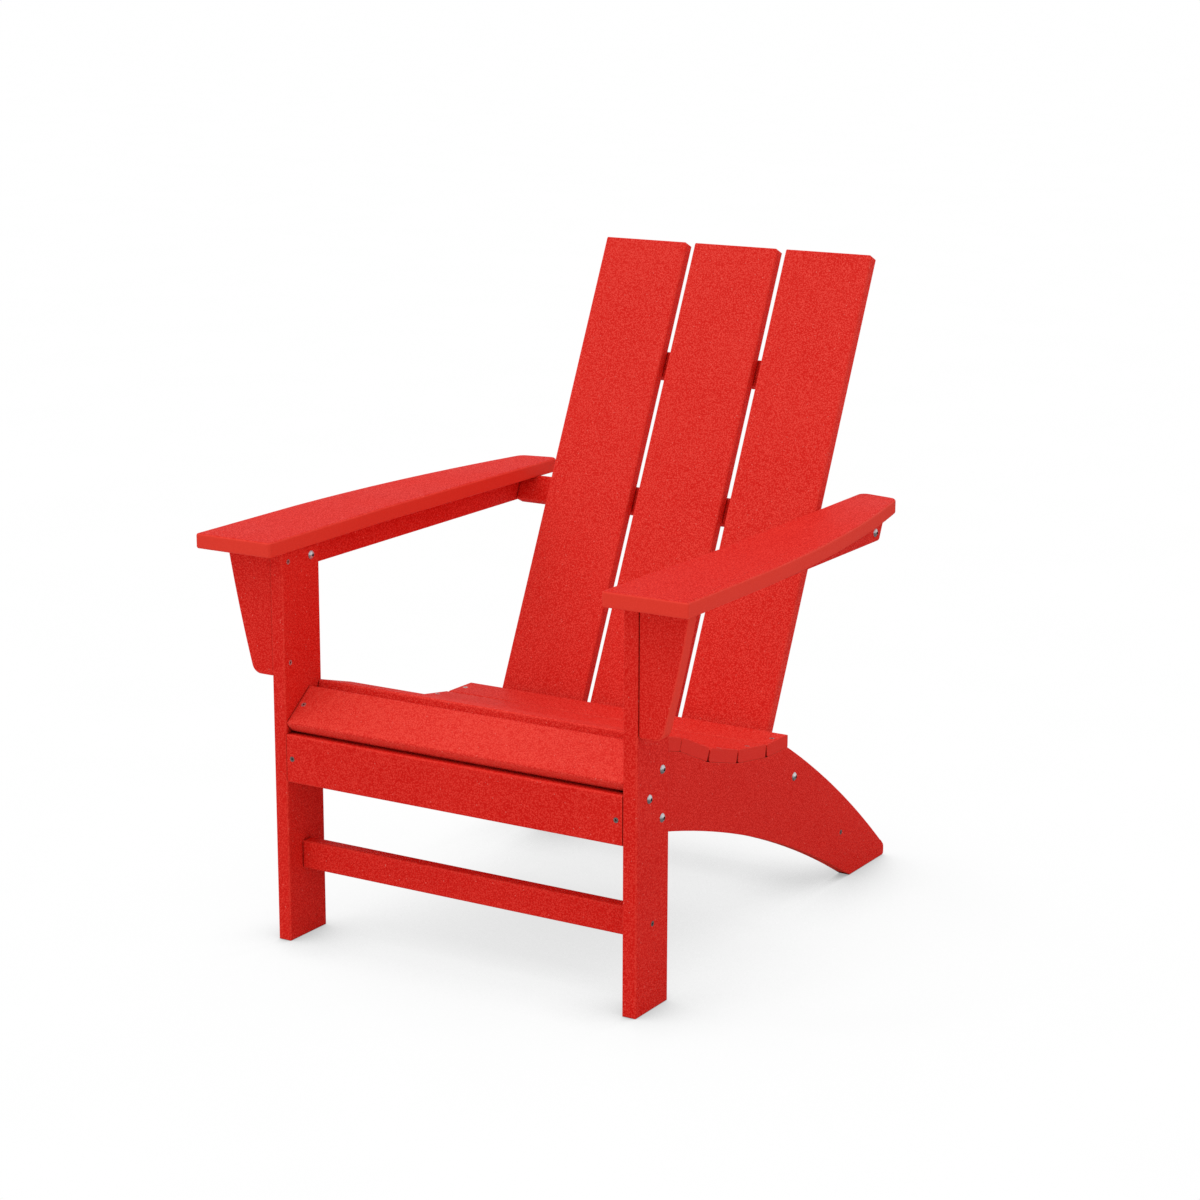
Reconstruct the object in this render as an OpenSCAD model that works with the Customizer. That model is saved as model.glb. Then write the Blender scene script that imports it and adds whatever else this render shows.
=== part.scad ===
// Modern flat-slat adirondack chair in plastic lumber, bolted and screwed together.
// X runs across the chair, the front faces -Y and Z is up. The origin is on the floor, midway
// between the arms' front edges and the top of the back. Left and right are as seen from the front.
// Profiles are drawn from the front face of the legs backwards, and lumber() and steel() then
// shift them so that the origin lands in the middle of the depth.

/* [Boards] */
// Thickness of the frame's boards and of the arms
board = 21.5; // [20:0.5:22]
// Thickness of the slats and of the curved stringers under the seat
slat_board = 19; // [18:0.5:20]
// Rounding of the edges that run along a board
ease = 3.5; // [2:0.5:5]
// Rounding round a sawn end
sawn_ease = 1; // [0.5:0.5:2]
// Half the width over the outer faces of the legs
half_width = 291.5; // [285:0.5:300]

/* [Front frame] */
// Depth of a front leg
leg_depth = 84.5; // [80:0.5:90]
// Underside of the arms, which is also the height of the legs
arm_height = 558; // [550:0.5:562]
// Lower edge of the front apron
apron_low = 233; // [230:0.5:240]
// Upper edge of the front apron
apron_high = 302; // [295:0.5:302]
// Set-back of the lower stretcher from the legs' front
stretcher_set = 32; // [25:1:35]
// Lower edge of the lower stretcher
stretcher_low = 99; // [60:1:120]
// Height of the stretchers
stretcher_tall = 40.5; // [30:0.5:45]

/* [Seat] */
// Slope of the front slat, in degrees
nose_slope = 37.3; // [36:0.1:38]
// Width of the front slat
nose_width = 69.5; // [66:0.5:70.5]
// Width of a full seat slat
slat_width = 80.5; // [79:0.5:81]
// Gap between seat slats
slat_gap = 3.2; // [3:0.1:4]

/* [Back] */
// Lean of the back from upright, in degrees
lean = 25; // [24:0.5:26]
// Width of a back slat
back_slat_width = 142.6; // [130:0.2:144]
// Gap between back slats
back_gap = 13.2; // [8:0.2:18]
// Height of the top of the back
back_top = 916; // [880:0.5:940]
// Width of the braces behind the back
brace_width = 41; // [36:0.5:42]

/* [Arms] */
// Widest half span, at the outer edge of an arm
arm_outer = 387; // [380:1:395]
// Overhang of the arms in front of the legs
arm_overhang = 39; // [25:1:45]
// Height of the rail under an arm
rail_tall = 36.5; // [32:0.5:40]
// Height of the tapered gusset under an arm
gusset_tall = 177; // [160:0.5:190]

/* [Fasteners] */
// Diameter of a bolt's shank
bolt_d = 6; // [5:0.5:6]
// Diameter of a screw's shank
screw_d = 3.6; // [3:0.2:4]

/* [Hidden] */
$fn = 32;

LUMBER = [0.82, 0.16, 0.13];
STEEL = [0.72, 0.73, 0.75];

// Edge roundings of a board that runs along x, and of one that runs along z
ALONG_X = [ease, sawn_ease, sawn_ease];
ALONG_Z = [sawn_ease, sawn_ease, ease];

// Clearance round a fastener, and between boards that butt
CLEAR = 0.1;
FIT = 0.2;
// Depth of a hole that goes right through two boards, and how far a blind hole outruns its screw
THROUGH = 60;
SPARE = 1;

// Faces of the legs and of the curved stringers, across the chair
leg_inner = half_width - board;
stringer_inner = leg_inner - slat_board;
stringer_mid = leg_inner - slat_board / 2;
rail_mid = half_width + board / 2;
rail_outer = half_width + board;

// Back: the front plane passes through BACK_FOOT, and s and w run up it and into it
BACK_FOOT = [470.1, 250];
UP_BACK = [sin(lean), cos(lean)];
INTO_BACK = [cos(lean), -sin(lean)];
back_start = -66;
back_end = (back_top - BACK_FOOT.y) / cos(lean);
SEAT_BRACE_S = -38.3;
ARM_BRACE_S = 332;
UPPER_BRACE_S = 546;
brace_mid = slat_board + board / 2;
UPPER_BRACE_HALF = 215;
back_slat_x = back_slat_width + back_gap;

// The top rear edge of the back is the chair's rearmost point, and the arms' front its foremost
rounding_loss = sawn_ease * (cos(lean) + sin(lean) - 1);
rear_y = BACK_FOOT.x + back_end * sin(lean) + slat_board * cos(lean) - rounding_loss;
middle_y = (rear_y - arm_overhang) / 2;

// Seat: the slope and width of each slat behind the sloping front one
SLOPES = [-15.7, -24, -15.3, -9, -0.7];
WIDTHS = [slat_width, slat_width, slat_width, slat_width, 62];
NOSE_FOOT = [1.2, 317.9];
SEAT_START = [77.2, 363.4];
slat_half = leg_inner - FIT;

// Stringer: the foot's heel and toe on the floor, how much its tail bows up from the seat to the
// heel, and the arch under it, which starts at this height behind the apron
HEEL = [783.5, 0];
HEEL_TOP = [783.5, 16];
TOE = [668, 0];
TAIL_RISE = 10;
ARCH_START = 242;
ARCH_RISE = 28.5;
HEEL_TOP_R = 8;
HEEL_R = 5;
// The tail's last stretch before the heel, which slopes at 45 degrees
TAIL_END = 9;

// Bolts through a leg and its stringer, as [y, z], and the one through the leg and the arm rail
LEG_BOLTS = [[66, 324], [33, 292], [66, 258]];
RAIL_BOLT = [66, 543];
RAIL_BRACE_BOLT = [638, 535.5];
REAR_STRETCHER = [635, 76.3];
RAIL_FRONT = 25;
RAIL_END = 652.5;
RAIL_CORNER_R = 6;

// Gusset: set-back from the legs' front, and its screws' heights
GUSSET_SET = 3;
GUSSET_SCREWS = [401, 543];
gusset_mid = GUSSET_SET + board / 2;

// Screws that come up through the rail into the arm, along the chair
ARM_SCREWS = [125, 330, 560];

// Fastener heads, washers and nuts. A head's socket has six sides in a bolt and four in a screw
HEAD_R = 6.3;
HEAD_H = 3.3;
SOCKET_R = 2.3;
WASHER_R = 8.5;
WASHER_H = 1.5;
NUT_R = 5.8;
NUT_H = 5;
BRACE_BOLT = 58;
SCREW_HEAD_R = 3.8;
SCREW_HEAD_H = 2.4;
SCREW_SOCKET_R = 1.6;
SOCKET_DEPTH = 1.5;
LONG_SCREW = 50;
SLAT_SCREW = 45;
ARM_SCREW_MEAT = 15;
BOLT_SPARE = 3;
SCREW_SHORT = 6;
leg_bolt = board + slat_board + WASHER_H + NUT_H + BOLT_SPARE;
rail_bolt = 2 * board + WASHER_H + NUT_H + BOLT_SPARE;
back_screw = slat_board + board - SCREW_SHORT;
arm_screw = rail_tall + ARM_SCREW_MEAT;

// ---- points and outlines -------------------------------------------------------------------

function direction(angle) = [cos(angle), sin(angle)];
function below(angle) = [sin(angle), -cos(angle)];
function on_back(s, w) = BACK_FOOT + s * UP_BACK + w * INTO_BACK;

// Upper front corner of each seat slat, each one starting where the last one ends
function slat_start(i) = i == 0
    ? SEAT_START
    : slat_start(i - 1) + (WIDTHS[i - 1] + slat_gap) * direction(SLOPES[i - 1]);
function slat_end(i) = slat_start(i) + WIDTHS[i] * direction(SLOPES[i]);

// Where the line through p along angle a meets the line through q along angle b
function meet(p, a, q, b) =
    let (d = q - p, n = below(b), k = (d * n) / (direction(a) * n)) p + k * direction(a);

// An arc from p to q that bulges by rise to the left of the way from p to q
function bulge(p, q, rise, steps = 24) =
    let (
        chord = norm(q - p),
        along = (q - p) / chord,
        aside = [-along.y, along.x],
        radius = (chord * chord / 4 + rise * rise) / (2 * rise),
        half = asin(chord / (2 * radius))
    )
    [for (i = [0 : steps])
        let (a = half * (2 * i / steps - 1))
        (p + q) / 2 + along * radius * sin(a) + aside * (rise - radius * (1 - cos(a)))];

// A polygon's points with corner k rounded by radii[k]
function rounded(points, radii, steps = 6) =
    let (n = len(points))
    [for (k = [0 : n - 1])
        let (
            here = points[k],
            a = points[(k + n - 1) % n] - here,
            b = points[(k + 1) % n] - here,
            ua = a / norm(a),
            ub = b / norm(b),
            half = acos(ua * ub) / 2,
            cut = radii[k] / tan(half),
            start = here + ua * cut,
            end = here + ub * cut,
            centre = here + (ua + ub) / norm(ua + ub) * radii[k] / sin(half)
        )
        for (i = [0 : radii[k] > 0 ? steps : 0])
            radii[k] > 0
                ? centre + radii[k] * unit(blend(start - centre, end - centre, i / steps, 180 - 2 * half))
                : here];
function unit(v) = v / norm(v);
function blend(a, b, t, span) = a * sin((1 - t) * span) + b * sin(t * span);

// ---- boards --------------------------------------------------------------------------------

module lumber() color(LUMBER) translate([0, -middle_y, 0]) children();
module steel() color(STEEL) translate([0, -middle_y, 0]) children();
module both_sides() for (side = [0, 1]) mirror([side, 0, 0]) children();
module left_side() mirror([1, 0, 0]) children();

// Turns a profile drawn in [y, z] into a sheet that spans x from low to high
module across(low, high)
    translate([low, 0, 0])
        rotate([90, 0, 90])
            linear_extrude(high - low)
                children();

module rounded_square(wide, tall, r) {
    translate([r, 0]) square([wide - 2 * r, tall]);
    translate([0, r]) square([wide, tall - 2 * r]);
    for (x = [r, wide - r], y = [r, tall - r]) translate([x, y]) circle(r);
}

// A board whose edges along x, y and z are rounded by r.x, r.y and r.z
module eased_board(size, r) {
    intersection() {
        linear_extrude(size.z) rounded_square(size.x, size.y, r.z);
        rotate([90, 0, 90])
            linear_extrude(size.x)
                rounded_square(size.y, size.z, r.x);
        translate([0, size.y, 0])
            rotate([90, 0, 0])
                linear_extrude(size.y)
                    rounded_square(size.x, size.z, r.y);
    }
}

// A slat across the seat, from -half to half, whose upper front edge is at [y, z] and which
// slopes up by angle towards the rear
module cross_slat(half, corner, angle, width)
    translate([-half, corner.x, corner.y])
        rotate([angle, 0, 0])
            translate([0, 0, -slat_board])
                eased_board([2 * half, width, slat_board], ALONG_X);

// Puts children, drawn with +Z up the back and +Y into it, on the lean of the back
module on_lean(s = 0, w = 0)
    translate([0, on_back(s, w).x, on_back(s, w).y])
        rotate([-lean, 0, 0])
            children();

// ---- fasteners: each points along -Z with its head's seat at z = 0 -------------------------

module bolt(length)
    difference() {
        union() {
            translate([0, 0, -length]) cylinder(d = bolt_d, h = length);
            intersection() {
                cylinder(r = HEAD_R, h = HEAD_H);
                dome_r = (HEAD_R * HEAD_R + HEAD_H * HEAD_H) / (2 * HEAD_H);
                translate([0, 0, HEAD_H - dome_r]) sphere(dome_r);
            }
        }
        translate([0, 0, HEAD_H - SOCKET_DEPTH]) cylinder(r = SOCKET_R, h = 2 * SOCKET_DEPTH, $fn = 6);
    }

module bolt_hole(length)
    translate([0, 0, -length]) cylinder(d = bolt_d + 2 * CLEAR, h = length + 1);

module washer()
    difference() {
        cylinder(r = WASHER_R, h = WASHER_H);
        translate([0, 0, -1]) cylinder(d = bolt_d + 4 * CLEAR, h = WASHER_H + 2);
    }

module nut()
    difference() {
        cylinder(r = NUT_R, h = NUT_H, $fn = 6);
        translate([0, 0, -1]) cylinder(d = bolt_d + 2 * CLEAR, h = NUT_H + 2);
    }

// A countersunk screw, its head's face at z = 0
module screw(length)
    difference() {
        union() {
            translate([0, 0, -length]) cylinder(d = screw_d, h = length);
            translate([0, 0, -SCREW_HEAD_H]) cylinder(d1 = screw_d, r2 = SCREW_HEAD_R, h = SCREW_HEAD_H);
        }
        translate([0, 0, -SOCKET_DEPTH]) cylinder(r = SCREW_SOCKET_R, h = 2 * SOCKET_DEPTH, $fn = 4);
    }

module screw_hole(length) {
    translate([0, 0, -length]) cylinder(d = screw_d + 2 * CLEAR, h = length + 1);
    translate([0, 0, -SCREW_HEAD_H])
        cylinder(d1 = screw_d + 2 * CLEAR, r2 = SCREW_HEAD_R + CLEAR, h = SCREW_HEAD_H);
    cylinder(r = SCREW_HEAD_R + CLEAR, h = 2);
}

// ---- where the fasteners go ----------------------------------------------------------------

// A fastener that enters a face at x and points towards -X
module from_outside(x, spot) translate([x, spot.x, spot.y]) rotate([0, 90, 0]) children();
// A fastener that enters a face at x and points towards +X
module from_inside(x, spot) translate([x, spot.x, spot.y]) rotate([0, -90, 0]) children();

module at_leg_bolts(x) for (spot = LEG_BOLTS) from_outside(x, spot) children();
module at_rail_bolt(x) from_inside(x, RAIL_BOLT) children();
module at_rail_brace() from_outside(rail_outer, RAIL_BRACE_BOLT) children();
module at_seat_brace() from_outside(leg_inner, on_back(SEAT_BRACE_S, brace_mid)) children();
module at_gusset_screws() for (z = GUSSET_SCREWS) from_inside(leg_inner, [gusset_mid, z]) children();
module at_front_stretcher()
    from_outside(half_width, [stretcher_set + board / 2, stretcher_low + stretcher_tall / 2]) children();
module at_rear_stretcher() from_outside(leg_inner, REAR_STRETCHER) children();
module at_apron_screw()
    translate([stringer_mid, 0, (apron_low + apron_high) / 2]) rotate([90, 0, 0]) children();
module at_arm_screws()
    for (y = ARM_SCREWS) translate([rail_mid, y, arm_height - rail_tall]) rotate([180, 0, 0]) children();
module at_slat_screw(corner, angle, width)
    translate([stringer_mid, corner.x, corner.y])
        rotate([angle, 0, 0])
            translate([0, width / 2, 0])
                children();
module at_slat_screws() {
    at_slat_screw(NOSE_FOOT, nose_slope, nose_width) children();
    for (i = [0 : last]) at_slat_screw(slat_start(i), SLOPES[i], WIDTHS[i]) children();
}
module at_back_screws(s, x)
    for (side = [-1, 1])
        on_lean(s, slat_board + board)
            translate([x + side * back_slat_width / 3, 0, 0])
                rotate([-90, 0, 0])
                    children();

// ---- front frame ---------------------------------------------------------------------------

module right_leg()
    lumber() difference() {
        translate([leg_inner, 0, 0]) eased_board([board, leg_depth, arm_height], ALONG_Z);
        at_leg_bolts(half_width) bolt_hole(THROUGH);
        at_rail_bolt(leg_inner) bolt_hole(THROUGH);
        at_gusset_screws() screw_hole(LONG_SCREW + SPARE);
        at_front_stretcher() screw_hole(THROUGH);
    }

module front_apron()
    lumber() difference() {
        translate([-leg_inner + FIT, 0, apron_low])
            eased_board([2 * (leg_inner - FIT), board, apron_high - apron_low], ALONG_X);
        both_sides() at_apron_screw() screw_hole(THROUGH);
    }

module front_stretcher()
    lumber() difference() {
        translate([-leg_inner + FIT, stretcher_set, stretcher_low])
            eased_board([2 * (leg_inner - FIT), board, stretcher_tall], ALONG_X);
        both_sides() at_front_stretcher() screw_hole(THROUGH);
    }

module rear_stretcher()
    lumber() difference() {
        translate([-stringer_inner + FIT, REAR_STRETCHER.x, REAR_STRETCHER.y])
            translate([0, -board / 2, -stretcher_tall / 2])
                eased_board([2 * (stringer_inner - FIT), board, stretcher_tall], ALONG_X);
        both_sides() at_rear_stretcher() screw_hole(THROUGH);
    }

// ---- curved stringers: seat rail and rear leg in one board ---------------------------------

nose_bottom = NOSE_FOOT + slat_board * below(nose_slope);
seat_bottom = SEAT_START + slat_board * below(SLOPES[0]);
last = len(SLOPES) - 1;
tail_start = slat_end(last) + slat_board * below(SLOPES[last]);
stringer_front = board;
stringer_outline = concat(
    [
        meet(nose_bottom, nose_slope, [stringer_front, 0], 90),
        meet(nose_bottom, nose_slope, seat_bottom, SLOPES[0])
    ],
    [for (i = [0 : last]) each [
        if (i > 0) slat_start(i) + slat_board * below(SLOPES[i]),
        slat_end(i) + slat_board * below(SLOPES[i])
    ]],
    [for (p = bulge(tail_start, HEEL_TOP, TAIL_RISE)) if (p.x > tail_start.x && p.x < HEEL.x - TAIL_END) p],
    rounded([HEEL_TOP + TAIL_END * [-1, 1], HEEL_TOP, HEEL, TOE], [0, HEEL_TOP_R, HEEL_R, 0]),
    [for (p = bulge(TOE, [stringer_front, ARCH_START], -ARCH_RISE)) if (p.x < TOE.x) p]
);

module right_stringer_board()
    lumber() difference() {
        across(stringer_inner, leg_inner) polygon(stringer_outline);
        at_leg_bolts(half_width) bolt_hole(THROUGH);
        at_seat_brace() bolt_hole(THROUGH);
        at_rear_stretcher() screw_hole(THROUGH);
        at_apron_screw() screw_hole(LONG_SCREW + SPARE);
        at_slat_screws() screw_hole(SLAT_SCREW + SPARE);
    }

// ---- seat ----------------------------------------------------------------------------------

module front_seat_slat()
    lumber() difference() {
        cross_slat(slat_half, NOSE_FOOT, nose_slope, nose_width);
        both_sides() at_slat_screw(NOSE_FOOT, nose_slope, nose_width) screw_hole(THROUGH);
    }

module seat_slat(i)
    lumber() difference() {
        cross_slat(slat_half, slat_start(i), SLOPES[i], WIDTHS[i]);
        both_sides() at_slat_screw(slat_start(i), SLOPES[i], WIDTHS[i]) screw_hole(THROUGH);
    }

// ---- back ----------------------------------------------------------------------------------

BACK_CORNER_R = 4;
BACK_SLAT_EASE = [sawn_ease, ease, BACK_CORNER_R];

module back_slat(position)
    lumber() difference() {
        on_lean() translate([position * back_slat_x - back_slat_width / 2, slat_board, back_start])
            rotate([90, 0, 0])
                eased_board([back_slat_width, back_end - back_start, slat_board], BACK_SLAT_EASE);
        for (s = [SEAT_BRACE_S, ARM_BRACE_S, UPPER_BRACE_S])
            at_back_screws(s, position * back_slat_x) screw_hole(back_screw + SPARE);
    }

module back_brace(s, half)
    lumber() difference() {
        on_lean(s - brace_width / 2, slat_board) translate([-half, 0, 0])
            eased_board([2 * half, board, brace_width], ALONG_X);
        for (position = [-1 : 1]) at_back_screws(s, position * back_slat_x) screw_hole(back_screw + SPARE);
        both_sides() at_rail_brace() bolt_hole(BRACE_BOLT + SPARE);
        both_sides() at_seat_brace() bolt_hole(BRACE_BOLT + SPARE);
    }

// ---- arms ----------------------------------------------------------------------------------

ARM_FRONT_INNER = 260.5;
ARM_WAIST = [268, 250];
ARM_TAIL_INNER = [261, 697];
ARM_TAIL_OUTER = [324, 684];
ARM_STRAIGHT = 180;
ARM_SWEEP = 13;
ARM_WAIST_R = 60;
ARM_INNER_R = 5;
ARM_OUTER_R = 3;
ARM_TAIL_OUTER_R = 16;
ARM_TAIL_INNER_R = 12;
arm_sweep = bulge([arm_outer, ARM_STRAIGHT], ARM_TAIL_OUTER, -ARM_SWEEP);
arm_outline = rounded(
    concat(
        [ARM_WAIST, [ARM_FRONT_INNER, -arm_overhang], [arm_outer, -arm_overhang]],
        arm_sweep,
        [ARM_TAIL_INNER]
    ),
    concat(
        [ARM_WAIST_R, ARM_INNER_R, ARM_OUTER_R],
        [for (i = [0 : len(arm_sweep) - 2]) 0],
        [ARM_TAIL_OUTER_R, ARM_TAIL_INNER_R]
    )
);

module right_arm_board()
    lumber() difference() {
        translate([0, 0, arm_height]) linear_extrude(board) polygon(arm_outline);
        at_arm_screws() screw_hole(arm_screw + SPARE);
    }

module right_rail()
    lumber() difference() {
        across(half_width, rail_outer) polygon(rounded(
            [
                [RAIL_FRONT, arm_height],
                [RAIL_FRONT, arm_height - rail_tall],
                [RAIL_END, arm_height - rail_tall],
                [RAIL_END + rail_tall * tan(lean), arm_height]
            ],
            [0, 0, RAIL_CORNER_R, 0]
        ));
        at_rail_bolt(leg_inner) bolt_hole(THROUGH);
        at_rail_brace() bolt_hole(THROUGH);
        at_arm_screws() screw_hole(THROUGH);
    }

GUSSET_TOP = 75;
GUSSET_FOOT = 34.5;
GUSSET_SWEEP = 2;
GUSSET_INNER_R = 4;
GUSSET_OUTER_R = 15;
gusset_low = arm_height - gusset_tall;
gusset_edge = bulge(
    [half_width + GUSSET_FOOT, gusset_low],
    [half_width + GUSSET_TOP, arm_height],
    -GUSSET_SWEEP,
    8
);
gusset_outline = rounded(
    concat([[half_width, arm_height], [half_width, gusset_low]], gusset_edge),
    concat([0, GUSSET_INNER_R, GUSSET_OUTER_R], [for (i = [1 : len(gusset_edge) - 1]) 0])
);

module right_gusset()
    lumber() difference() {
        translate([0, GUSSET_SET + board, 0])
            rotate([90, 0, 0])
                linear_extrude(board)
                    polygon(gusset_outline);
        at_gusset_screws() screw_hole(LONG_SCREW + SPARE);
    }

// ---- bolts and screws ----------------------------------------------------------------------

module leg_bolts() steel() both_sides() at_leg_bolts(half_width) bolt(leg_bolt);
module leg_washers() steel() both_sides() at_leg_bolts(stringer_inner - WASHER_H) washer();
module leg_nuts() steel() both_sides() at_leg_bolts(stringer_inner - WASHER_H - NUT_H) nut();
module rail_bolts() steel() both_sides() at_rail_bolt(leg_inner) bolt(rail_bolt);
module rail_washers() steel() both_sides() at_rail_bolt(rail_outer + WASHER_H) washer();
module rail_nuts() steel() both_sides() at_rail_bolt(rail_outer + WASHER_H + NUT_H) nut();
module brace_bolts()
    steel() both_sides() {
        at_rail_brace() bolt(BRACE_BOLT);
        at_seat_brace() bolt(BRACE_BOLT);
    }
module apron_screws() steel() both_sides() at_apron_screw() screw(LONG_SCREW);
module stretcher_screws()
    steel() both_sides() {
        at_front_stretcher() screw(LONG_SCREW);
        at_rear_stretcher() screw(LONG_SCREW);
    }
module gusset_screws() steel() both_sides() at_gusset_screws() screw(LONG_SCREW);
module seat_slat_screws() steel() both_sides() at_slat_screws() screw(SLAT_SCREW);
module back_slat_screws()
    steel() for (s = [SEAT_BRACE_S, ARM_BRACE_S, UPPER_BRACE_S], position = [-1 : 1])
        at_back_screws(s, position * back_slat_x) screw(back_screw);
module arm_screws() steel() both_sides() at_arm_screws() screw(arm_screw);

// ---- nodes ---------------------------------------------------------------------------------

left_side() right_leg();  // left_front_leg
right_leg();  // right_front_leg
left_side() right_stringer_board();  // left_stringer
right_stringer_board();  // right_stringer
front_apron();
front_stretcher();
rear_stretcher();
front_seat_slat();
seat_slat(0);  // seat_slat_1
seat_slat(1);  // seat_slat_2
seat_slat(2);  // seat_slat_3
seat_slat(3);  // seat_slat_4
seat_slat(4);  // seat_slat_5
back_slat(-1);  // left_back_slat
back_slat(0);  // middle_back_slat
back_slat(1);  // right_back_slat
back_brace(UPPER_BRACE_S, UPPER_BRACE_HALF);  // upper_back_brace
back_brace(ARM_BRACE_S, half_width - FIT);  // arm_back_brace
back_brace(SEAT_BRACE_S, stringer_inner - FIT);  // seat_back_brace
left_side() right_arm_board();  // left_arm
right_arm_board();  // right_arm
left_side() right_rail();  // left_arm_rail
right_rail();  // right_arm_rail
left_side() right_gusset();  // left_arm_gusset
right_gusset();  // right_arm_gusset
leg_bolts();
leg_washers();
leg_nuts();
rail_bolts();
rail_washers();
rail_nuts();
brace_bolts();
apron_screws();
stretcher_screws();
gusset_screws();
seat_slat_screws();
back_slat_screws();
arm_screws();
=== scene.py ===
"""Looks of a modern flat-slat adirondack chair in red plastic lumber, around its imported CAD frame.

The boards that the CAD model already eases keep their CAD meshes. The boards that are cut to an
outline have square edges in CAD, so each is shown by a copy with its edges rounded over.
"""

import math

import bmesh
import bpy
from mathutils import Matrix, Vector


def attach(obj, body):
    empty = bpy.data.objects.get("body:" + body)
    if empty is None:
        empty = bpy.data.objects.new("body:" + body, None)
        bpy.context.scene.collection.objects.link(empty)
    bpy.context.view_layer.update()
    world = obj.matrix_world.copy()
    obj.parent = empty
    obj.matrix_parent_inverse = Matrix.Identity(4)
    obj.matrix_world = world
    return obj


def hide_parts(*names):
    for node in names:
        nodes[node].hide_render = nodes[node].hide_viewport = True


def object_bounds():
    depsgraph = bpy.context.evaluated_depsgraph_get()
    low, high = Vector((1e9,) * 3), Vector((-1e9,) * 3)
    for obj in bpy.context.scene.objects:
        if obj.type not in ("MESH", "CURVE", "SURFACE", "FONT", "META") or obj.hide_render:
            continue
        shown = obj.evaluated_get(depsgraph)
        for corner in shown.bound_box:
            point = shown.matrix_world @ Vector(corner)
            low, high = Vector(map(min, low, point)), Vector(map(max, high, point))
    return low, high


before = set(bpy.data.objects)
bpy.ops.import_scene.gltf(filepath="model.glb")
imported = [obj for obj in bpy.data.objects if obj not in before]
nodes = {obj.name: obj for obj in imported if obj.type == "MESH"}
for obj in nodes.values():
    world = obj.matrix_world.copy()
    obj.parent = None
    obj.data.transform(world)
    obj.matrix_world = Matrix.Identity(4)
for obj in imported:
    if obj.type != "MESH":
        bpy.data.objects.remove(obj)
cad_low, cad_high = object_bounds()

X = Vector((1, 0, 0))
Y = Vector((0, 1, 0))
Z = Vector((0, 0, 1))

# The back leans this far from upright
LEAN = math.radians(25)
UP_BACK = Vector((0, math.sin(LEAN), math.cos(LEAN)))
BACK_NORMAL = Vector((0, -math.cos(LEAN), math.sin(LEAN)))

# Roundings of the edges that are square in CAD, in metres
ARM_EDGE = 0.0032
GUSSET_EDGE = 0.003
RAIL_EDGE = 0.003
STRINGER_EDGE = 0.0013
STEEL_EDGE = 0.0003


# ---- camera --------------------------------------------------------------------------------

AZIMUTH = math.radians(31.25)
ELEVATION = math.radians(13.53)
ROLL = math.radians(0.13)
DISTANCE = 4.148
TARGET = Vector((0, 0.0095, 0.4471))
LENS_MM = 86.91
SENSOR_MM = 36
CLIP_END = 200


def make_camera():
    """The camera stands in front of the chair, to its right, a little above the arms."""
    back = Vector((
        math.sin(AZIMUTH) * math.cos(ELEVATION),
        -math.cos(AZIMUTH) * math.cos(ELEVATION),
        math.sin(ELEVATION),
    ))
    side = Z.cross(back).normalized()
    up = back.cross(side)
    turned_side = math.cos(ROLL) * side + math.sin(ROLL) * up
    turned_up = math.cos(ROLL) * up - math.sin(ROLL) * side
    data = bpy.data.cameras.new("camera")
    data.sensor_width = SENSOR_MM
    data.lens = LENS_MM
    data.clip_end = CLIP_END
    camera = bpy.data.objects.new("camera", data)
    turn = Matrix((turned_side, turned_up, back)).transposed()
    camera.matrix_world = Matrix.Translation(TARGET + DISTANCE * back) @ turn.to_4x4()
    bpy.context.scene.collection.objects.link(camera)
    bpy.context.scene.camera = camera


# ---- studio sizes ---------------------------------------------------------------------------

FLOOR_RADIUS = 60
BACKDROP_HEIGHT = 60
ROUND_SIDES = 96

# How far under the chair's feet the floor that the camera sees lies, and the one that throws light
FLOOR_DROP = 0.0002
BOUNCE_DROP = 0.002

# Where the lamp shines from, how strongly, and how many degrees across it looks
KEY_FROM = Vector((-0.36, -0.22, 0.91))
KEY_STRENGTH = 0.74
KEY_ANGLE = 50
SKY_STRENGTH = 0.79
HORIZON_BLUR = 0.05


# ---- node helpers --------------------------------------------------------------------------

class Nodes:
    """Builds one material's nodes with short calls."""

    def __init__(self, name):
        self.material = bpy.data.materials.new(name)
        self.material.use_nodes = True
        self.tree = self.material.node_tree
        self.tree.nodes.clear()

    def add(self, kind, values=None, **settings):
        node = self.tree.nodes.new(kind)
        for key, value in settings.items():
            setattr(node, key, value)
        for key, value in (values or {}).items():
            self.put(node.inputs[key], value)
        return node

    def put(self, socket, value):
        if isinstance(value, bpy.types.NodeSocket):
            self.tree.links.new(value, socket)
        else:
            socket.default_value = value

    def math(self, operation, a, b=0.0):
        return self.add("ShaderNodeMath", {0: a, 1: b}, operation=operation).outputs[0]

    def dot(self, vector, axis):
        node = self.add("ShaderNodeVectorMath", {0: vector, 1: axis}, operation="DOT_PRODUCT")
        return node.outputs["Value"]

    def ramp(self, value, low, high, out_low=0.0, out_high=1.0):
        """value from low to high becomes out_low to out_high, smoothly, and no further."""
        values = {"Value": value, "From Min": low, "From Max": high}
        values.update({"To Min": out_low, "To Max": out_high})
        node = self.add("ShaderNodeMapRange", values, interpolation_type="SMOOTHSTEP")
        return node.outputs["Result"]

    def mix(self, factor, a, b):
        node = self.add("ShaderNodeMix", data_type="RGBA")
        self.put(node.inputs[0], factor)
        self.put(node.inputs[6], a)
        self.put(node.inputs[7], b)
        return node.outputs[2]

    def noise(self, vector, scale, detail=2.0, roughness=0.5):
        node = self.add(
            "ShaderNodeTexNoise",
            {"Vector": vector, "Scale": scale, "Detail": detail, "Roughness": roughness},
        )
        return node.outputs["Fac"]


def colour(red, green, blue):
    return (red, green, blue, 1.0)


# ---- materials -----------------------------------------------------------------------------

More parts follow.
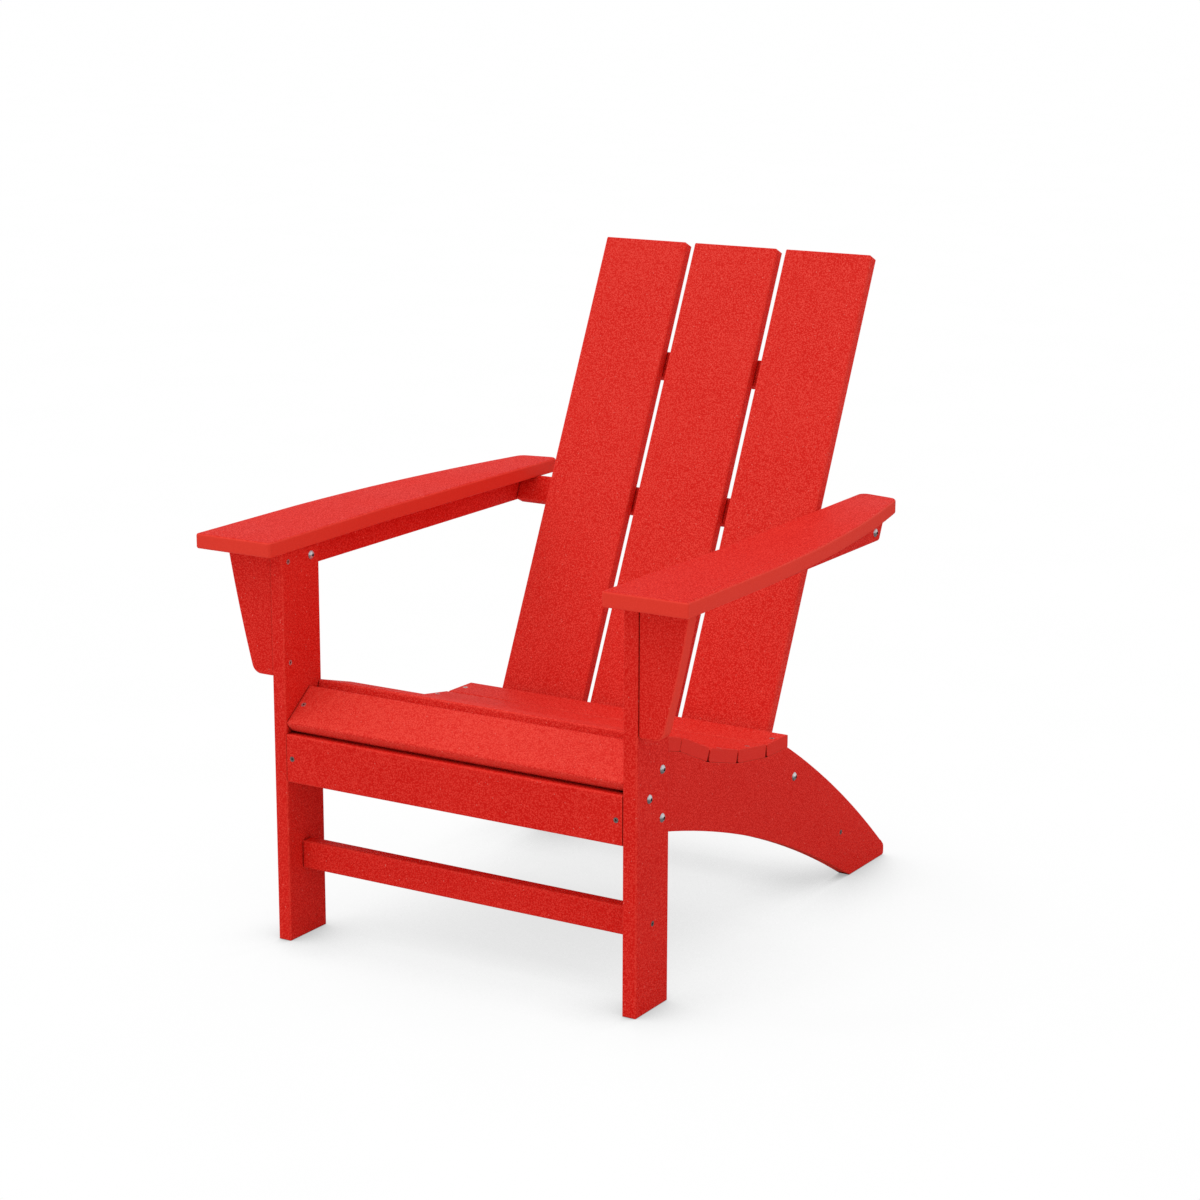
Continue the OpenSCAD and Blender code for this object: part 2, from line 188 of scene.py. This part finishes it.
# Plastic lumber: the hollows and the tops of its pebbled skin, a lighter and oranger lit copy of
# these for the slats (painted light), its routed edges, its sawn ends, painted glints on its skin,
# and a painted highlight on its rounded edges
RED_HOLLOW = colour(0.690, 0.008, 0.004)
RED_PEBBLE = colour(0.905, 0.050, 0.034)
RED_LIT_HOLLOW = colour(0.720, 0.015, 0.009)
RED_LIT_PEBBLE = colour(0.945, 0.077, 0.055)
RED_ROUTED = colour(0.840, 0.050, 0.029)
RED_SAWN = colour(0.780, 0.030, 0.019)
RED_GLINT = colour(0.96, 0.28, 0.23)
RED_EDGE_HIGHLIGHT = colour(0.93, 0.070, 0.046)

# Stainless steel: the bolts, which are bright, and the small screws, which are darker and tinted red
STEEL_BRIGHT = colour(0.80, 0.81, 0.84)
STEEL_DULL = colour(0.62, 0.63, 0.66)
SCREW_BRIGHT = colour(0.60, 0.52, 0.50)
SCREW_DULL = colour(0.40, 0.31, 0.29)

# Painted shade in the joints between boards and in the fasteners' sockets, and how far each reaches
RED_PAINTED_SHADE = colour(0.16, 0.002, 0.002)
STEEL_PAINTED_SHADE = colour(0.030, 0.022, 0.020)
JOINT_REACH = 0.012
SOCKET_REACH = 0.004

# How fine each pattern of the lumber is, and how much of it shows
PEBBLES_PER_METRE = 480
GRAIN_PER_METRE = 640.0
GRAIN_SHARE = 0.9
GLINTS_PER_METRE = 95
GLINT_RADIUS = 0.075
GLINT_SHARE = 0.5
STREAKS_PER_METRE = 55.0
STREAK_STRETCH = 0.06
CLOUDS_PER_METRE = 9.0
HIGHLIGHT_BREAKS_PER_METRE = 120.0
CUT_SHARE = 0.85
TOOL_LINES_PER_METRE = 900
LUMBER_BUMP = {"Strength": 0.35, "Distance": 0.0003}
LUMBER_SPECULAR = 0.08

# Stainless steel: turning marks and tarnish
MARKS_PER_METRE = 2600.0
TARNISH_PER_METRE = 160.0
STEEL_BUMP = {"Strength": 0.15, "Distance": 0.0001}
STEEL_METALLIC = 0.75


def painted_recess_shade(n, reach, deepest, open_from):
    """Painted shade: 1 deep in a joint or a socket, and 0 where the surface is open to the air."""
    node = n.add("ShaderNodeAmbientOcclusion", {"Distance": reach}, samples=4)
    return n.ramp(node.outputs["AO"], deepest, open_from, 1.0, 0.0)


def lumber(name, along, flat, routed=False, lit_copy=False):
    """Extruded plastic lumber. Its length runs along `along`, and its wide faces look along `flat`.

    The extruded skin has a fine pebbled grain. Sawn ends, and all edges of a routed board, are
    smooth.
    """
    n = Nodes(name)
    across = along.cross(flat).normalized()
    place = n.add("ShaderNodeTexCoord").outputs["Object"]
    normal = n.add("ShaderNodeTexCoord").outputs["Normal"]

    # How far the surface looks along each of the board's own axes
    end_on = n.math("ABSOLUTE", n.dot(normal, along))
    face_on = n.math("ABSOLUTE", n.dot(normal, flat))
    edge_on = n.math("ABSOLUTE", n.dot(normal, across))
    if routed:
        cut = n.ramp(face_on, 0.55, 0.93, 1.0, 0.0)
        turned = n.ramp(face_on, 0.15, 0.5)
        corner = n.math("MULTIPLY", turned, n.ramp(face_on, 0.85, 0.99, 1.0, 0.0))
    else:
        cut = n.ramp(end_on, 0.35, 0.85)
        squarest = n.math("MAXIMUM", n.math("MAXIMUM", end_on, face_on), edge_on)
        corner = n.ramp(squarest, 0.82, 0.985, 1.0, 0.0)
    skin = n.math("SUBTRACT", 1.0, cut)

    # The pebbled skin: rounded cells about two millimetres across, broken up by a finer grain
    cells = n.add(
        "ShaderNodeTexVoronoi",
        {"Vector": place, "Scale": PEBBLES_PER_METRE, "Smoothness": 0.35, "Randomness": 1.0},
        feature="SMOOTH_F1",
    ).outputs["Distance"]
    grain = n.noise(place, GRAIN_PER_METRE, detail=2.0, roughness=0.6)
    pebbles = n.math("ADD", n.math("MULTIPLY", cells, -1.0), n.math("MULTIPLY", grain, GRAIN_SHARE))
    pebbles = n.ramp(pebbles, -0.22, 0.30)

    # Painted glints: pale dots one or two millimetres across, standing in for light caught by the
    # pebbles
    spots = n.add("ShaderNodeTexVoronoi", {"Vector": place, "Scale": GLINTS_PER_METRE})
    glint = n.ramp(spots.outputs["Distance"], GLINT_RADIUS * 0.6, GLINT_RADIUS * 1.4, 1.0, 0.0)

    # Faint long streaks from the extruder's die, and slow drifts of colour
    stretched = n.add("ShaderNodeCombineXYZ", {
        0: n.math("MULTIPLY", n.dot(place, along), STREAK_STRETCH),
        1: n.dot(place, flat),
        2: n.dot(place, across),
    }).outputs[0]
    streaks = n.noise(stretched, STREAKS_PER_METRE, detail=3.0, roughness=0.6)
    clouds = n.noise(place, CLOUDS_PER_METRE, detail=2.0)

    # The lit copy, lighter and oranger, is painted light for the slats
    hollow = RED_LIT_HOLLOW if lit_copy else RED_HOLLOW
    pebble = RED_LIT_PEBBLE if lit_copy else RED_PEBBLE
    tone = n.mix(pebbles, hollow, pebble)
    tone = n.mix(n.ramp(streaks, 0.3, 0.75, 0.0, 0.12), tone, hollow)
    tone = n.mix(n.ramp(clouds, 0.35, 0.75, 0.0, 0.10), tone, pebble)
    tone = n.mix(n.math("MULTIPLY", cut, CUT_SHARE), tone, RED_ROUTED if routed else RED_SAWN)
    # Painted glints on the extruded skin
    tone = n.mix(n.math("MULTIPLY", n.math("MULTIPLY", glint, skin), GLINT_SHARE), tone, RED_GLINT)
    # Painted highlight: the rounded edges are paler, broken up by noise, and a little glossier
    highlight_breaks = n.ramp(n.noise(place, HIGHLIGHT_BREAKS_PER_METRE, detail=4.0, roughness=0.7), 0.42, 0.68)
    edge_highlight = n.math("MULTIPLY", corner, n.math("ADD", n.math("MULTIPLY", highlight_breaks, 0.4), 0.15))
    tone = n.mix(edge_highlight, tone, RED_EDGE_HIGHLIGHT)
    # Painted shade: darker in the joints between boards and other close recesses
    tone = n.mix(painted_recess_shade(n, JOINT_REACH, 0.05, 0.62), tone, RED_PAINTED_SHADE)

    rough = n.ramp(pebbles, 0.0, 1.0, 0.66, 0.54)
    rough = n.math("SUBTRACT", rough, n.math("MULTIPLY", cut, 0.06))
    rough = n.math("ADD", rough, n.ramp(clouds, 0.3, 0.7, -0.03, 0.03))
    rough = n.math("SUBTRACT", rough, n.math("MULTIPLY", edge_highlight, 0.08))

    # Fine tool lines run along a routed edge
    squeezed = n.add(
        "ShaderNodeVectorMath",
        {0: place, 1: flat * TOOL_LINES_PER_METRE + X + Y + Z},
        operation="MULTIPLY",
    ).outputs[0]
    lines = n.noise(squeezed, 1.6)
    height = n.math("ADD",
                    n.math("MULTIPLY", pebbles, skin),
                    n.math("MULTIPLY", n.math("MULTIPLY", lines, cut), 0.2))
    bump = n.add("ShaderNodeBump", {"Height": height, **LUMBER_BUMP})

    shader = n.add("ShaderNodeBsdfPrincipled", {
        "Base Color": tone,
        "Roughness": rough,
        "Normal": bump.outputs[0],
    })
    shader.inputs["Specular IOR Level"].default_value = LUMBER_SPECULAR
    n.add("ShaderNodeOutputMaterial", {"Surface": shader.outputs[0]})
    return n.material


def stainless(name, bright, dull):
    """Satin stainless steel, with fine turning marks and slight tarnish."""
    n = Nodes(name)
    place = n.add("ShaderNodeTexCoord").outputs["Object"]
    brushed = n.noise(place, MARKS_PER_METRE, detail=2.0)
    tarnish = n.noise(place, TARNISH_PER_METRE, detail=3.0, roughness=0.6)
    tone = n.mix(n.ramp(tarnish, 0.35, 0.7), bright, dull)
    # Painted shade: darker in the sockets and close around the heads
    tone = n.mix(painted_recess_shade(n, SOCKET_REACH, 0.52, 0.95), tone, STEEL_PAINTED_SHADE)
    rough = n.ramp(brushed, 0.3, 0.7, 0.24, 0.36)
    rough = n.math("ADD", rough, n.ramp(tarnish, 0.3, 0.7, 0.0, 0.1))
    bump = n.add("ShaderNodeBump", {"Height": brushed, **STEEL_BUMP})
    shader = n.add("ShaderNodeBsdfPrincipled", {
        "Base Color": tone,
        "Roughness": rough,
        "Normal": bump.outputs[0],
    })
    shader.inputs["Metallic"].default_value = STEEL_METALLIC
    n.add("ShaderNodeOutputMaterial", {"Surface": shader.outputs[0]})
    return n.material


# The floor's shade: a broad soft one from the whole chair, and a close one from the boards just
# above it. Each has the distance it reaches, its depth and where its light mostly comes from
BROAD_REACH = 0.50
BROAD_DEPTH = 0.70
BROAD_FROM = Vector((-0.30, -0.35, 0.89))
CLOSE_REACH = 0.14
CLOSE_DEPTH = 0.50
CLOSE_FROM = Vector((0.0, 0.42, 0.91))


def shade(n, reach, depth, light_from):
    """From depth where boards hide the light to 1 where the floor is open to it."""
    up = n.add("ShaderNodeCombineXYZ", dict(enumerate(light_from)))
    hidden = n.add(
        "ShaderNodeAmbientOcclusion", {"Distance": reach, "Normal": up.outputs[0]}, samples=8
    )
    # A slanted view of the sky also takes in some floor, which counts as hidden
    most = (1 + light_from.normalized().z) / 2
    return n.ramp(hidden.outputs["AO"], 0.0, 0.95 * most, depth, 1.0)


def floor_white(name):
    n = Nodes(name)
    place = n.add("ShaderNodeTexCoord").outputs["Object"]
    mottle = n.ramp(n.noise(place, 3.0), 0.3, 0.7, 0.998, 1.002)
    both = n.math("MULTIPLY", shade(n, BROAD_REACH, BROAD_DEPTH, BROAD_FROM),
                  shade(n, CLOSE_REACH, CLOSE_DEPTH, CLOSE_FROM))
    white = white_emission(n, n.math("MULTIPLY", both, mottle))
    n.add("ShaderNodeOutputMaterial", {"Surface": white})
    return n.material


def floor_bounce(name):
    """The unseen floor that throws the studio's light back up at the chair."""
    n = Nodes(name)
    place = n.add("ShaderNodeTexCoord").outputs["Object"]
    tone = n.mix(n.noise(place, 3.0), colour(0.79, 0.79, 0.79), colour(0.82, 0.82, 0.82))
    shader = n.add("ShaderNodeBsdfDiffuse", {"Color": tone})
    n.add("ShaderNodeOutputMaterial", {"Surface": shader.outputs[0]})
    return n.material


def backdrop_white(name):
    n = Nodes(name)
    place = n.add("ShaderNodeTexCoord").outputs["Object"]
    white = white_emission(n, n.ramp(n.noise(place, 0.05), 0.3, 0.7, 0.998, 1.002))
    n.add("ShaderNodeOutputMaterial", {"Surface": white})
    return n.material


def white_emission(n, strength):
    n.material.cycles.emission_sampling = "NONE"
    white = colour(1.0, 1.0, 1.0)
    return n.add("ShaderNodeEmission", {"Color": white, "Strength": strength}).outputs[0]


# ---- pieces --------------------------------------------------------------------------------

# Points nearer than this are one, folds under the flat angle are flattened, and folds over the
# fold angle are edges. An outline longer than the largest hole is a board's own
SAME_PLACE = 1e-5
FLAT_ANGLE = math.radians(0.5)
FOLD_ANGLE = math.radians(40)
LARGEST_HOLE = 0.012
ROUNDING_STEPS = 4
CRISP_ANGLE = math.radians(35)


def sharp_groups(mesh, angle):
    """The edges that fold by more than angle, in groups that touch."""
    left = {e for e in mesh.edges if len(e.link_faces) == 2 and e.calc_face_angle() > angle}
    groups = []
    while left:
        queue = [left.pop()]
        group = []
        while queue:
            edge = queue.pop()
            group.append(edge)
            for vertex in edge.verts:
                for other in vertex.link_edges:
                    if other in left:
                        left.remove(other)
                        queue.append(other)
        groups.append(group)
    return groups


def extent(edges):
    places = [v.co for e in edges for v in e.verts]
    return max(max(p[i] for p in places) - min(p[i] for p in places) for i in range(3))


def rounded_copy(node, name, radius):
    """A copy of a CAD board with its outline's edges rounded over. Screw holes stay as they are."""
    mesh = bmesh.new()
    mesh.from_mesh(nodes[node].data)
    bmesh.ops.remove_doubles(mesh, verts=mesh.verts, dist=SAME_PLACE)
    bmesh.ops.dissolve_limit(mesh, angle_limit=FLAT_ANGLE, verts=mesh.verts, edges=mesh.edges)
    outline = []
    for group in sharp_groups(mesh, FOLD_ANGLE):
        if extent(group) > LARGEST_HOLE:
            outline += group
    bmesh.ops.bevel(
        mesh, geom=outline, offset=radius, offset_type="OFFSET", segments=ROUNDING_STEPS,
        profile=0.5, affect="EDGES", clamp_overlap=False, miter_outer="SHARP", miter_inner="SHARP",
    )
    data = bpy.data.meshes.new(name)
    mesh.to_mesh(data)
    mesh.free()
    piece = bpy.data.objects.new(name, data)
    bpy.context.scene.collection.objects.link(piece)
    smooth(piece)
    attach(piece, "root")
    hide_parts(node)
    return piece


def smooth(piece):
    """Smooth shading on the roundings, with the flat faces kept flat."""
    piece.data.shade_smooth()
    piece.data.set_sharp_from_angle(angle=CRISP_ANGLE)
    weighted = piece.modifiers.new("weighted", "WEIGHTED_NORMAL")
    weighted.keep_sharp = True
    weighted.weight = 90


def soften(piece, radius):
    """Breaks the sharp edges of a turned piece, so that they catch the light."""
    bevel = piece.modifiers.new("broken_edges", "BEVEL")
    bevel.width = radius
    bevel.segments = 2
    bevel.limit_method = "ANGLE"
    bevel.angle_limit = FOLD_ANGLE


def paint(piece, material):
    piece.data.materials.clear()
    piece.data.materials.append(material)


def make_boards():
    # The seat and back slats take the lit copy of the lumber, a painted light
    cross = lumber("lumber_cross", X, Z, lit_copy=True)
    upright = lumber("lumber_upright", Z, X)
    back = lumber("lumber_back", UP_BACK, BACK_NORMAL, lit_copy=True)
    apron = lumber("lumber_apron", X, Y)
    brace = lumber("lumber_brace", X, BACK_NORMAL)
    arm = lumber("lumber_arm", Y, Z, routed=True)
    stringer = lumber("lumber_stringer", Y, X, routed=True)
    gusset = lumber("lumber_gusset", Z, Y, routed=True)
    rail = lumber("lumber_rail", Y, X)

    for side in ("left", "right"):
        paint(nodes[side + "_front_leg"], upright)
        paint(rounded_copy(side + "_arm", side + "_arm_board", ARM_EDGE), arm)
        paint(rounded_copy(side + "_stringer", side + "_stringer_board", STRINGER_EDGE), stringer)
        paint(rounded_copy(side + "_arm_gusset", side + "_gusset_board", GUSSET_EDGE), gusset)
        paint(rounded_copy(side + "_arm_rail", side + "_rail_board", RAIL_EDGE), rail)
    for node in ("front_apron", "front_stretcher", "rear_stretcher"):
        paint(nodes[node], apron)
    for node in ("upper_back_brace", "arm_back_brace", "seat_back_brace"):
        paint(nodes[node], brace)
    for node in ("left_back_slat", "middle_back_slat", "right_back_slat"):
        paint(nodes[node], back)
    for node in nodes:
        if "seat_slat" in node and "screws" not in node:
            paint(nodes[node], cross)


def make_fasteners():
    steel = stainless("stainless", STEEL_BRIGHT, STEEL_DULL)
    screw_steel = stainless("screw_steel", SCREW_BRIGHT, SCREW_DULL)
    for node in nodes:
        if node.endswith(("bolts", "washers", "nuts", "screws")):
            paint(nodes[node], screw_steel if node.endswith("screws") else steel)
            soften(nodes[node], STEEL_EDGE)


# ---- stage ---------------------------------------------------------------------------------

def softbox(name, direction, strength, angle):
    """A lamp far off that looks like a round softbox, `angle` degrees across."""
    lamp = bpy.data.lights.new(name, "SUN")
    lamp.energy = strength
    lamp.angle = math.radians(angle)
    box = bpy.data.objects.new(name, lamp)
    box.rotation_euler = direction.to_track_quat("Z", "Y").to_euler()
    bpy.context.scene.collection.objects.link(box)


def make_sky():
    """White above the horizon and black below it, where only reflections look."""
    world = bpy.data.worlds.new("studio")
    world.use_nodes = True
    tree = world.node_tree
    background = tree.nodes["Background"]
    background.inputs["Strength"].default_value = SKY_STRENGTH
    direction = tree.nodes.new("ShaderNodeTexCoord")
    split = tree.nodes.new("ShaderNodeSeparateXYZ")
    horizon = tree.nodes.new("ShaderNodeMapRange")
    horizon.inputs["From Min"].default_value = -HORIZON_BLUR
    horizon.inputs["From Max"].default_value = HORIZON_BLUR
    tree.links.new(direction.outputs["Generated"], split.inputs[0])
    tree.links.new(split.outputs["Z"], horizon.inputs["Value"])
    tree.links.new(horizon.outputs["Result"], background.inputs["Color"])
    bpy.context.scene.world = world


def stage_piece(name, mesh, material, seen):
    """A piece of the studio: either only the camera sees it, or it only lights the chair."""
    data = bpy.data.meshes.new(name)
    mesh.to_mesh(data)
    mesh.free()
    piece = bpy.data.objects.new(name, data)
    bpy.context.scene.collection.objects.link(piece)
    paint(piece, material)
    piece.visible_camera = seen
    piece.visible_diffuse = not seen
    piece.visible_shadow = not seen
    piece.visible_glossy = False
    piece.visible_transmission = False


def floor_disc(drop):
    disc = bmesh.new()
    bmesh.ops.create_circle(disc, cap_ends=True, radius=FLOOR_RADIUS, segments=ROUND_SIDES)
    bmesh.ops.translate(disc, verts=disc.verts, vec=Z * (cad_low.z - drop))
    return disc


def make_stage():
    stage_piece("floor", floor_disc(FLOOR_DROP), floor_white("floor_white"), seen=True)
    stage_piece("floor_bounce", floor_disc(BOUNCE_DROP), floor_bounce("floor_bounce"), seen=False)
    drum = bmesh.new()
    bmesh.ops.create_cone(
        drum, cap_ends=False, segments=ROUND_SIDES, radius1=FLOOR_RADIUS, radius2=FLOOR_RADIUS,
        depth=BACKDROP_HEIGHT,
    )
    bmesh.ops.translate(drum, verts=drum.verts, vec=Z * BACKDROP_HEIGHT / 2)
    stage_piece("backdrop", drum, backdrop_white("backdrop_white"), seen=True)

    make_sky()
    softbox("key", KEY_FROM, KEY_STRENGTH, KEY_ANGLE)

    bpy.context.scene.view_settings.view_transform = "Standard"


make_camera()
make_stage()
make_boards()
make_fasteners()
